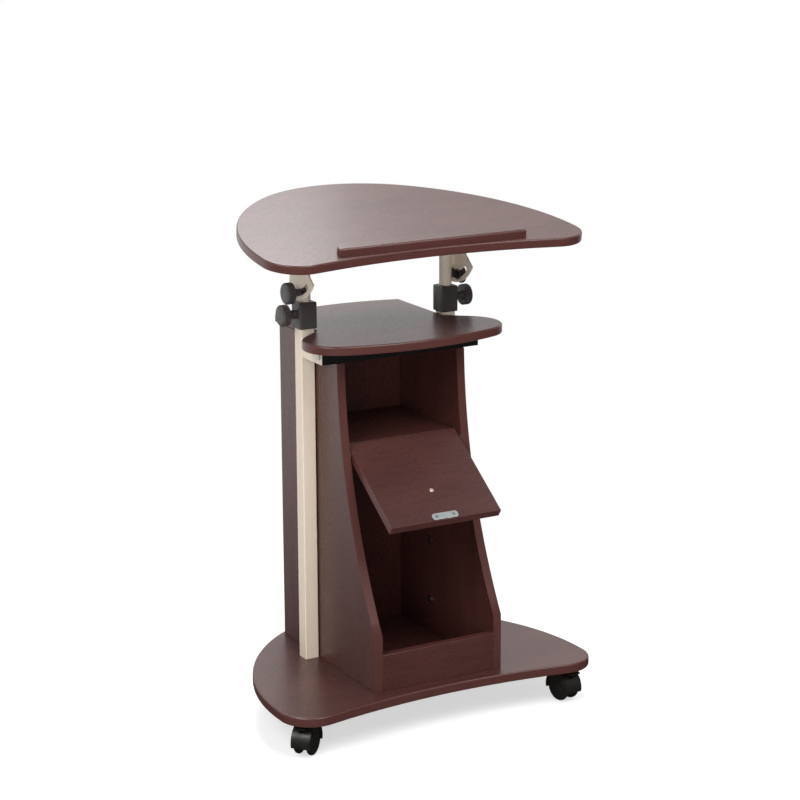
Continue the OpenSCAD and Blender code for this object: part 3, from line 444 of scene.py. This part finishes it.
def outlines(mesh, normal, shortest):
    """Edges of the closed outlines round the flat faces that face this way."""
    flat = {face for face in mesh.faces if face.normal.dot(normal) > FLAT_FACE}
    rim = {e for f in flat for e in f.edges if sum(g in flat for g in e.link_faces) == 1}
    kept = set()
    while rim:
        chain, front = set(), [rim.pop()]
        while front:
            edge = front.pop()
            chain.add(edge)
            joined = {e for v in edge.verts for e in v.link_edges if e in rim}
            rim -= joined
            front.extend(joined)
        if sum(e.calc_length() for e in chain) > shortest:
            kept |= chain
    return {e.index for e in kept}


def round_outline(piece, normal, radius, steps, shortest):
    """Round the outlines of the faces that face along the normal."""
    take(piece)
    bpy.ops.object.mode_set(mode="EDIT")
    mesh = bmesh.from_edit_mesh(piece.data)
    mesh.normal_update()
    found = outlines(mesh, normal, shortest)
    pick(piece, "EDGE", lambda e: e.index in found)
    bpy.ops.mesh.bevel(offset=radius, segments=steps, affect="EDGES", clamp_overlap=False)
    bpy.ops.object.mode_set(mode="OBJECT")


def round_sharp_edges(piece, radius, steps=2):
    """Round every sharp edge that is longer than the chords of a small bore."""
    take(piece)
    bpy.ops.object.mode_set(mode="EDIT")
    pick(piece, "EDGE", lambda e: len(e.link_faces) == 2 and e.calc_length() > BORE_CHORD
         and e.calc_face_angle() > SHARP_TURN and e.is_convex)
    bpy.ops.mesh.bevel(offset=radius, segments=steps, affect="EDGES", clamp_overlap=True)
    bpy.ops.object.mode_set(mode="OBJECT")


def band_edges(piece, normal, run):
    """Laminate on the two faces and edge banding on everything between them."""
    piece.data.materials.clear()
    for finish in ("espresso_laminate_grain_", "abs_edge_band_"):
        piece.data.materials.append(material(finish + run))
    for polygon in piece.data.polygons:
        polygon.material_index = int(abs(polygon.normal.dot(normal)) < BAND_BEGINS)


def settle(piece, node, finish=None, angle=30):
    """Smooth the piece, give it its finish and let it stand for its CAD node."""
    take(piece)
    bpy.ops.object.transform_apply(location=True, rotation=True, scale=True)
    if finish:
        piece.data.materials.clear()
        piece.data.materials.append(material(finish))
    bpy.ops.object.shade_smooth_by_angle(angle=math.radians(angle))
    bpy.ops.object.modifier_add(type="WEIGHTED_NORMAL")
    piece.modifiers[-1].keep_sharp = True
    bpy.ops.object.modifier_apply(modifier=piece.modifiers[-1].name)
    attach(piece, NODES[node]["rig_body"])
    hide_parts(node)


def turned(name, profile, sides, outline=None):
    """A piece turned about Z, drawn out from ring to ring of its profile."""
    take()
    radius, height = profile[0]
    bpy.ops.mesh.primitive_circle_add(
        vertices=sides, radius=radius, fill_type="NGON", location=(0, 0, height)
    )
    piece = bpy.context.object
    piece.name = name
    bpy.ops.object.transform_apply(location=True)
    bpy.ops.object.mode_set(mode="EDIT")
    if outline:
        outline(piece)
    bpy.ops.mesh.select_mode(type="FACE")
    bpy.ops.mesh.select_all(action="SELECT")
    for wider, higher in profile[1:]:
        bpy.ops.mesh.extrude_region_move(
            TRANSFORM_OT_translate={"value": (0, 0, higher - height)}
        )
        ratio = wider / radius
        bpy.ops.transform.resize(value=(ratio, ratio, 1), center_override=(0, 0, 0))
        radius, height = wider, higher
    bpy.ops.mesh.select_all(action="SELECT")
    bpy.ops.mesh.normals_make_consistent(inside=False)
    bpy.ops.object.mode_set(mode="OBJECT")
    return piece


def facing(direction, at):
    """The place of a piece drawn along +Z that faces this way from this point."""
    turn = Vector(direction).to_track_quat("Z", "Y").to_matrix().to_4x4()
    return Matrix.Translation(Vector(at)) @ turn


# Boards

class DESK_OT_boards(bpy.types.Operator):
    """Base, table top and middle shelf: laminated boards with moulded edge bands"""
    bl_idname = "desk.boards"
    bl_label = "Boards"

    def execute(self, context):
        radius = sizes().board_round
        for node, up in (("base_panel", UP), ("tabletop", TABLE_UP), ("mid_shelf", UP)):
            board = copy_node(node.replace("_panel", "_board") + "_banded", node)
            round_outline(board, up, radius, steps=4, shortest=BOARD_OUTLINE)
            round_outline(board, -up, radius * UNDERSIDE, steps=3, shortest=BOARD_OUTLINE)
            band_edges(board, up, "across")
            settle(board, node)
        return {"FINISHED"}


class DESK_OT_ledge(bpy.types.Operator):
    """Stop ledge along the front of the table top, with a well rounded upper edge"""
    bl_idname = "desk.ledge"
    bl_label = "Stop ledge"

    def execute(self, context):
        ledge = copy_node("stop_ledge", "ledge")
        round_outline(
            ledge, TABLE_UP, sizes().ledge_round, steps=6, shortest=BOARD_OUTLINE)
        band_edges(ledge, TABLE_UP, "across")
        settle(ledge, "ledge")
        return {"FINISHED"}


class DESK_OT_hutch(bpy.types.Operator):
    """Hutch: two sides with curved fronts, back board, inner shelf and lip board"""
    bl_idname = "desk.hutch"
    bl_label = "Hutch"

    def execute(self, context):
        radius = sizes().panel_round
        boards = (
            ("side_panel_left", ACROSS, "upright"), ("side_panel_right", ACROSS, "upright"),
            ("back_panel", FRONT, "upright"), ("interior_shelf", UP, "across"),
            ("lip_board", FRONT, "across"),
        )
        for node, normal, run in boards:
            board = copy_node(node + "_banded", node)
            for way in (normal, -normal):
                round_outline(board, way, radius, steps=3, shortest=BOARD_OUTLINE)
            band_edges(board, normal, run)
            settle(board, node)
        return {"FINISHED"}


class DESK_OT_door(bpy.types.Operator):
    """Flap door with its magnet plate, screws and turned knob"""
    bl_idname = "desk.door"
    bl_label = "Flap door"

    def execute(self, context):
        radius = sizes().panel_round
        door = copy_node("flap_door_banded", "flap_door")
        for way in (DOOR_OUT, -DOOR_OUT):
            round_outline(door, way, radius, steps=3, shortest=BOARD_OUTLINE)
        band_edges(door, DOOR_OUT, "across")
        settle(door, "flap_door")

        plate = copy_node("magnet_plate_plated", "magnet_plate")
        round_outline(plate, -DOOR_OUT, MAGNET_EDGE, steps=3, shortest=PLATE_OUTLINE)
        settle(plate, "magnet_plate", finish="nickel_plated_magnet")

        screws = copy_node("door_screws_domed", "door_screws")
        round_outline(screws, -DOOR_OUT, SCREW_DOME, steps=3, shortest=SCREW_OUTLINE)
        for finish in ("zinc_plated_steel", "yellow_passivated_steel"):
            screws.data.materials.append(material(finish))
        # The knob's screw is the one on the door's middle line.
        middle = 5 * MM
        for polygon in screws.data.polygons:
            polygon.material_index = int(abs(polygon.center.x) < middle)
        settle(screws, "door_screws")

        knob = copy_node("turned_door_knob", "door_knob")
        settle(knob, "door_knob", finish="stained_beech_knob", angle=50)
        return {"FINISHED"}


# Steel and moulded parts

class DESK_OT_steelwork(bpy.types.Operator):
    """Posts, inner tubes, shelf arms and the black crossbar"""
    bl_idname = "desk.steelwork"
    bl_label = "Posts and arms"

    def execute(self, context):
        for side in SIDES:
            post = copy_node(f"post_{side}_tube", f"post_{side}")
            settle(post, f"post_{side}", finish="champagne_powder_coat")
            tube = copy_node(f"inner_tube_{side}_round", f"inner_tube_{side}")
            settle(tube, f"inner_tube_{side}", finish="champagne_powder_coat")
            arm = copy_node(f"arm_{side}_bent", f"arm_{side}")
            round_sharp_edges(arm, sizes().plate_round)
            settle(arm, f"arm_{side}", finish="champagne_powder_coat")
        bar = copy_node("crossbar_tube", "crossbar")
        settle(bar, "crossbar", finish="black_powder_coat")
        return {"FINISHED"}


class DESK_OT_tilt(bpy.types.Operator):
    """Slotted tilt brackets, pivot blocks and clamp plates under the table top"""
    bl_idname = "desk.tilt"
    bl_label = "Tilt mechanism"

    def execute(self, context):
        radius = sizes().plate_round
        for side in SIDES:
            for part, shape in (("tilt_bracket", "slotted"), ("pivot_block", "saddle")):
                node = f"{part}_{side}"
                plate = copy_node(f"{node}_{shape}", node)
                for way in (ACROSS, -ACROSS):
                    round_outline(plate, way, radius, steps=2, shortest=PLATE_OUTLINE)
                settle(plate, node, finish="champagne_powder_coat")
        plates = copy_node("clamp_plates_moulded", "clamp_plates")
        settle(plates, "clamp_plates", finish="moulded_black_plastic")
        return {"FINISHED"}


class DESK_OT_collars(bpy.types.Operator):
    """Moulded collars on the tops of the posts"""
    bl_idname = "desk.collars"
    bl_label = "Collars"

    def execute(self, context):
        radius = sizes().collar_round
        for side in SIDES:
            collar = copy_node(f"collar_{side}_moulded", f"collar_{side}")
            round_outline(collar, UP, radius, steps=4, shortest=COLLAR_OUTLINE)
            round_outline(collar, -UP, radius * UNDERSIDE, steps=3, shortest=COLLAR_OUTLINE)
            settle(collar, f"collar_{side}", finish="moulded_black_plastic")
        return {"FINISHED"}


# Clamping knobs

# Rings from the neck to the face: a share of the outer radius, and a height in mm.
KNOB_RINGS = (
    (0.9, 15), (0.96, 15.3), (0.99, 16), (1, 17), (1, 25.2), (0.992, 26.4), (0.965, 27.5),
    (0.92, 28.5), (0.85, 29.2), (0.76, 29.6), (0.5, 29.85), (0.05, 30),
)
NUT_RINGS = (
    (0.95, 0), (0.99, 0.3), (1, 0.9), (1, 3.6), (0.98, 4.4), (0.94, 4.8), (0.88, 5),
    (0.6, 5), (0.57, 4.5), (0.35, 4.5), (0.32, 5), (0.03, 5),
)
# Rings of the neck, as shares of its radius.
NECK_RINGS = ((1, 0), (1, 12), (1.06, 14), (1.2, 15.2))
NECK_SIDES = 48

# Radius of the neck, the distance of its foot behind the joint, and the knobs like that.
KNOBS = (
    (7.5 * MM, 7.7 * MM, ("height_knob_left", "height_knob_right")),
    (6 * MM, 2.7 * MM, ("tilt_knob_left",)),
)
NUT_BACK = 2.7 * MM

# Each flute has this many corners. Those in its middle are drawn in most.
FLUTE_CORNERS = 8
FLUTE_DEPTHS = ((0, 0.93), (1, 0.95), (2, 0.985))


def flute(piece):
    """Draw the corners round each flute's middle in, to leave ribs between the flutes."""
    corners = FLUTE_CORNERS * sizes().knob_flutes
    for away, ratio in FLUTE_DEPTHS:
        def in_flute(vert):
            turn = math.atan2(vert.co.y, vert.co.x) / math.tau
            place = round(turn * corners) % FLUTE_CORNERS
            return min(place, FLUTE_CORNERS - place) == away
        pick(piece, "VERT", in_flute)
        bpy.ops.transform.resize(value=(ratio, ratio, 1), center_override=(0, 0, 0))


def scaled(rings, radius):
    """Rings in metres, from shares of this radius and heights in mm."""
    return [(share * radius, height * MM) for share, height in rings]


def clamp_place(node, back):
    """The place of a knob drawn along +Z that faces outwards on its joint."""
    joint = JOINTS["_turn_".join(node.rsplit("_", 1))]
    out = Vector((math.copysign(1, joint["pos_m"][0]), 0, 0))
    return facing(out, Vector(joint["pos_m"]) - out * back)


class DESK_OT_knobs(bpy.types.Operator):
    """Fluted clamping knobs of the height and the tilt, and the flat nut of the tilt"""
    bl_idname = "desk.knobs"
    bl_label = "Clamping knobs"

    def execute(self, context):
        corners = FLUTE_CORNERS * sizes().knob_flutes
        disc = turned("disc", scaled(KNOB_RINGS, sizes().knob_radius), corners, flute)
        for neck, back, nodes in KNOBS:
            stem = turned("stem", scaled(NECK_RINGS, neck), NECK_SIDES)
            master = join("knob", [stem, copy_piece(disc, "disc")])
            for node in nodes:
                knob = copy_piece(master, node + "_fluted", clamp_place(node, back))
                settle(knob, node, finish="moulded_black_plastic", angle=35)
            bpy.data.objects.remove(master)
        bpy.data.objects.remove(disc)

        nut = turned("tilt_nut_right_fluted", scaled(NUT_RINGS, sizes().nut_radius),
                     corners, flute)
        nut.data.transform(clamp_place("tilt_nut_right", NUT_BACK))
        settle(nut, "tilt_nut_right", finish="moulded_black_plastic", angle=35)
        return {"FINISHED"}


# Casters

# From the stem to the axle, from the floor to the axle, and from the middle of a caster to
# the inner face of a wheel.
CASTER_TRAIL = 18 * MM
WHEEL_RADIUS = 24.5 * MM
WHEEL_INSET = 7.5 * MM

# Radius and height above the inner face in mm: tread, groove, dome and hub cap.
WHEEL_RINGS = (
    (22.5, 0), (23.4, 0.5), (24.1, 1.3), (24.4, 2.1), (24.5, 3), (24.5, 4.2), (24.4, 5),
    (24, 5.9), (23.3, 6.7), (22.3, 7.25), (21.2, 7.6), (20.8, 7.25), (20.2, 7.25),
    (19.8, 7.8), (15, 8.3), (10, 8.65), (6, 8.85), (5.7, 8.5), (5.1, 8.5), (4.8, 8.9),
    (0.4, 9),
)
WHEEL_SIDES = 64


def wheel_place(name):
    """The middle of a caster's axle, turned so that the axle runs along Y."""
    stem = Vector(JOINTS["caster_swivel_" + name]["pos_m"])
    axle = Vector(JOINTS["wheel_roll_" + name]["pos_m"])
    turn = math.atan2(axle.y - stem.y, axle.x - stem.x)
    return (Matrix.Translation((stem.x, stem.y, 0)) @ Matrix.Rotation(turn, 4, "Z")
            @ Matrix.Translation((CASTER_TRAIL, 0, WHEEL_RADIUS)))


class DESK_OT_casters(bpy.types.Operator):
    """Twin-wheel casters: hoods with their forks, domed wheels and brake levers"""
    bl_idname = "desk.casters"
    bl_label = "Casters"

    def execute(self, context):
        wheel = turned("wheel", scaled(WHEEL_RINGS, MM), WHEEL_SIDES)
        pair = join("wheels", [
            copy_piece(wheel, "wheel", facing((0, way, 0), (0, way * WHEEL_INSET, 0)))
            for way in (1, -1)
        ])
        for name in CASTERS:
            hood = copy_node(f"caster_hood_{name}_moulded", f"caster_hood_{name}")
            round_sharp_edges(hood, HOOD_EDGE, steps=3)
            settle(hood, f"caster_hood_{name}", finish="moulded_caster_nylon")
            wheels = copy_piece(pair, f"caster_wheels_{name}_domed", wheel_place(name))
            settle(wheels, f"caster_wheels_{name}", finish="moulded_caster_nylon", angle=40)
        for master in (wheel, pair):
            bpy.data.objects.remove(master)
        for name in BRAKED_CASTERS:
            lever = copy_node(f"brake_lever_{name}_moulded", f"brake_lever_{name}")
            round_sharp_edges(lever, LEVER_EDGE)
            settle(lever, f"brake_lever_{name}", finish="moulded_caster_nylon")
        return {"FINISHED"}


class DESK_OT_fittings(bpy.types.Operator):
    """Finishes of the small fittings that keep their CAD shape"""
    bl_idname = "desk.fittings"
    bl_label = "Small fittings"

    def execute(self, context):
        finishes = {
            "black_plastic": "moulded_black_plastic", "bright_steel": "zinc_plated_steel",
            "beech": "bare_beech",
        }
        for node, piece in NODES.items():
            if not piece.hide_render:
                finish = "blackened_steel" if node == "tilt_studs" else finishes[SLOTS[node]]
                piece.data.materials.clear()
                piece.data.materials.append(material(finish))
        return {"FINISHED"}


# Studio

# Name, watts, size in metres, place, the point that it shines at, and whether surfaces mirror
# it. The front lamp is low, and a board seen from behind would mirror it as a white sheet.
LAMPS = (
    ("key_lamp", 46, (1.6, 1.4), (0.4, -1.8, 2.4), (0, 0, 0.5), True),
    ("front_lamp", 26, (1.5, 0.9), (-1.5, -2.6, 0.6), (0, 0, 0.6), False),
    ("left_lamp", 54, (1.6, 1.6), (-2.1, -1.1, 2.1), (0, 0, 0.6), True),
    ("top_lamp", 70, (1.2, 1.2), (0.5, 1.4, 3.1), (0.1, 0, 0.3), True),
    ("back_lamp", 3.6, (0.9, 0.7), (0.3, 1.5, 1.75), (0, 0, 0.85), True),
)

# The camera, fitted to the desk's outlines in the photograph: yaw, pitch and roll in degrees,
# its place in metres, and the lens and sensor in millimetres.
CAMERA_TURN = (-29.36, 14.28, -0.23)
CAMERA_PLACE = (-1.81299, -3.27033, 1.46899)
LENS = 103.25
SENSOR = 36

FLOOR_SIZE = 40
FARTHEST_SEEN = 100


def area_light(name, energy, size, place, target, mirrored):
    """A soft rectangular lamp that the camera doesn't see."""
    bpy.ops.object.light_add(type="AREA", location=place)
    lamp = bpy.context.object
    lamp.name = name
    lamp.data.shape = "RECTANGLE"
    lamp.data.size, lamp.data.size_y = size
    lamp.data.energy = energy
    lamp.visible_camera = False
    lamp.visible_glossy = mirrored
    away = Vector(place) - Vector(target)
    lamp.rotation_euler = away.to_track_quat("Z", "Y").to_euler()


class DESK_OT_studio(bpy.types.Operator):
    """Pale floor, white surround, five soft lamps and the camera"""
    bl_idname = "desk.studio"
    bl_label = "Studio"

    def execute(self, context):
        context.scene.view_settings.view_transform = "Standard"
        take()
        bpy.ops.mesh.primitive_plane_add(size=FLOOR_SIZE)
        floor = context.object
        floor.name = "studio_floor"
        floor.data.materials.append(self.floor_finish())
        self.surround(context.scene)
        for lamp in LAMPS:
            area_light(*lamp)
        self.camera(context.scene)
        return {"FINISHED"}

    def floor_finish(self):
        """Seamless white paper. Seen straight on, it keeps the desk's soft shadow and turns
        plain white further out. In reflections it shows a painted reflection instead: a glow
        that is pale behind the desk and dark in front of it."""
        made, tree, paper = start_material("seamless_paper", linear("#bcbcbc"), roughness=0.9)
        rays = add_node(tree, "ShaderNodeLightPath", output=None)
        place = add_node(tree, "ShaderNodeTexCoord", output="Object")
        # Near the desk, a glow lifts the paper to white but leaves the shadow.
        glow = add_node(tree, "ShaderNodeMath", {0: rays["Is Camera Ray"], 1: 0.6},
                        operation="MULTIPLY")
        lift = add_node(tree, "ShaderNodeEmission", {"Strength": glow})
        near = add_node(tree, "ShaderNodeAddShader", {0: paper.outputs[0], 1: lift})
        # From 0.45 to 0.95 m away it turns plain white.
        away = add_node(tree, "ShaderNodeVectorMath", {0: place}, "Value", operation="LENGTH")
        far = add_node(tree, "ShaderNodeMapRange", {
            "Value": away, "From Min": 0.45, "From Max": 0.95})
        clear = add_node(tree, "ShaderNodeMath", {0: rays["Is Camera Ray"], 1: far},
                         operation="MULTIPLY")
        white = add_node(tree, "ShaderNodeEmission", {"Strength": 1.0})
        plain = add_node(tree, "ShaderNodeMixShader", {0: clear, 1: near, 2: white})
        # What surfaces mirror of it is a painted reflection: a glow that grows pale from the
        # desk's middle to 2 m behind it.
        behind = add_node(tree, "ShaderNodeSeparateXYZ", {0: place}, "Y")
        level = add_node(tree, "ShaderNodeMapRange", {
            "Value": behind, "From Min": 0.0, "From Max": 2.0, "To Min": 0.03, "To Max": 0.95})
        painted_reflection = add_node(tree, "ShaderNodeEmission", {"Strength": level})
        both = add_node(tree, "ShaderNodeMixShader", {
            0: self.mirrored(tree, rays), 1: plain, 2: painted_reflection})
        fill(tree, tree.nodes["Material Output"], {"Surface": both})
        return made

    def mirrored(self, tree, rays):
        """1 for the rays that see the background in or through another surface."""
        return add_node(tree, "ShaderNodeMath", {
            0: rays["Is Glossy Ray"], 1: rays["Is Transmission Ray"],
        }, operation="MAXIMUM")

    def surround(self, scene):
        """White behind the desk and a dim room in front of it, as its reflections show."""
        world = scene.world or bpy.data.worlds.new("surround")
        scene.world = world
        world.use_nodes = True
        tree = world.node_tree
        tree.nodes.clear()
        rays = add_node(tree, "ShaderNodeLightPath", output=None)
        way = add_node(tree, "ShaderNodeTexCoord", output="Generated")
        way = add_node(tree, "ShaderNodeSeparateXYZ", {0: way}, None)
        behind = add_node(tree, "ShaderNodeMapRange", {
            "Value": way["Y"], "From Min": -0.35, "From Max": 0.25,
            "To Min": 0.1, "To Max": 0.76,
        })
        higher = add_node(tree, "ShaderNodeMapRange", {
            "Value": way["Z"], "From Min": 0.22, "From Max": 0.45,
            "To Min": 1.2, "To Max": 0.8,
        })
        room = add_node(tree, "ShaderNodeMath", {0: behind, 1: higher}, operation="MULTIPLY")
        # The surround lights the desk at 0.22, and the camera sees it plain white.
        level = add_node(tree, "ShaderNodeMix", {
            FACTOR: self.mirrored(tree, rays), VALUE_A: 0.22, VALUE_B: room})
        level = add_node(tree, "ShaderNodeMix", {
            FACTOR: rays["Is Camera Ray"], VALUE_A: level, VALUE_B: 1.0})
        sky = add_node(tree, "ShaderNodeBackground", {
            "Color": (*linear("#ffffff"), 1), "Strength": level})
        add_node(tree, "ShaderNodeOutputWorld", {"Surface": sky}, None)

    def camera(self, scene):
        """A long lens from the left, a little above the table top."""
        bpy.ops.object.camera_add()
        camera = bpy.context.object
        scene.camera = camera
        yaw, pitch, roll = (math.radians(a) for a in CAMERA_TURN)
        look = Vector((-math.sin(yaw) * math.cos(pitch), math.cos(yaw) * math.cos(pitch),
                       -math.sin(pitch)))
        right = look.cross(UP).normalized()
        above = right.cross(look)
        right, above = (right * math.cos(roll) + above * math.sin(roll),
                        above * math.cos(roll) - right * math.sin(roll))
        turn = Matrix((right, above, -look)).transposed()
        camera.matrix_world = Matrix.Translation(CAMERA_PLACE) @ turn.to_4x4()
        camera.data.sensor_width = SENSOR
        camera.data.lens = LENS
        camera.data.clip_end = FARTHEST_SEEN


class DESK_PT_panel(bpy.types.Panel):
    """Sizes, colours and pieces of the desk"""
    bl_idname = "DESK_PT_panel"
    bl_label = "Rolling laptop desk"
    bl_space_type = "VIEW_3D"
    bl_region_type = "UI"
    bl_category = "Desk"

    def draw(self, context):
        for group in (context.scene.desk_sizes, context.scene.desk_colours):
            column = self.layout.column(align=True)
            for name in group.__annotations__:
                column.prop(group, name)
        column = self.layout.column(align=True)
        for operator in OPERATORS:
            column.operator(operator.bl_idname)


OPERATORS = (
    DESK_OT_boards, DESK_OT_ledge, DESK_OT_hutch, DESK_OT_door, DESK_OT_steelwork,
    DESK_OT_tilt, DESK_OT_collars, DESK_OT_knobs, DESK_OT_casters, DESK_OT_fittings,
    DESK_OT_studio,
)
CLASSES = (DeskSizes, DeskColours, *OPERATORS, DESK_PT_panel)


def register():
    for made in CLASSES:
        bpy.utils.register_class(made)
    bpy.types.Scene.desk_sizes = PointerProperty(type=DeskSizes)
    bpy.types.Scene.desk_colours = PointerProperty(type=DeskColours)


def unregister():
    del bpy.types.Scene.desk_colours
    del bpy.types.Scene.desk_sizes
    for made in reversed(CLASSES):
        bpy.utils.unregister_class(made)


def main():
    register()
    for operator in OPERATORS:
        group, name = operator.bl_idname.split(".")
        getattr(getattr(bpy.ops, group), name)()


if __name__ == "__main__":
    main()
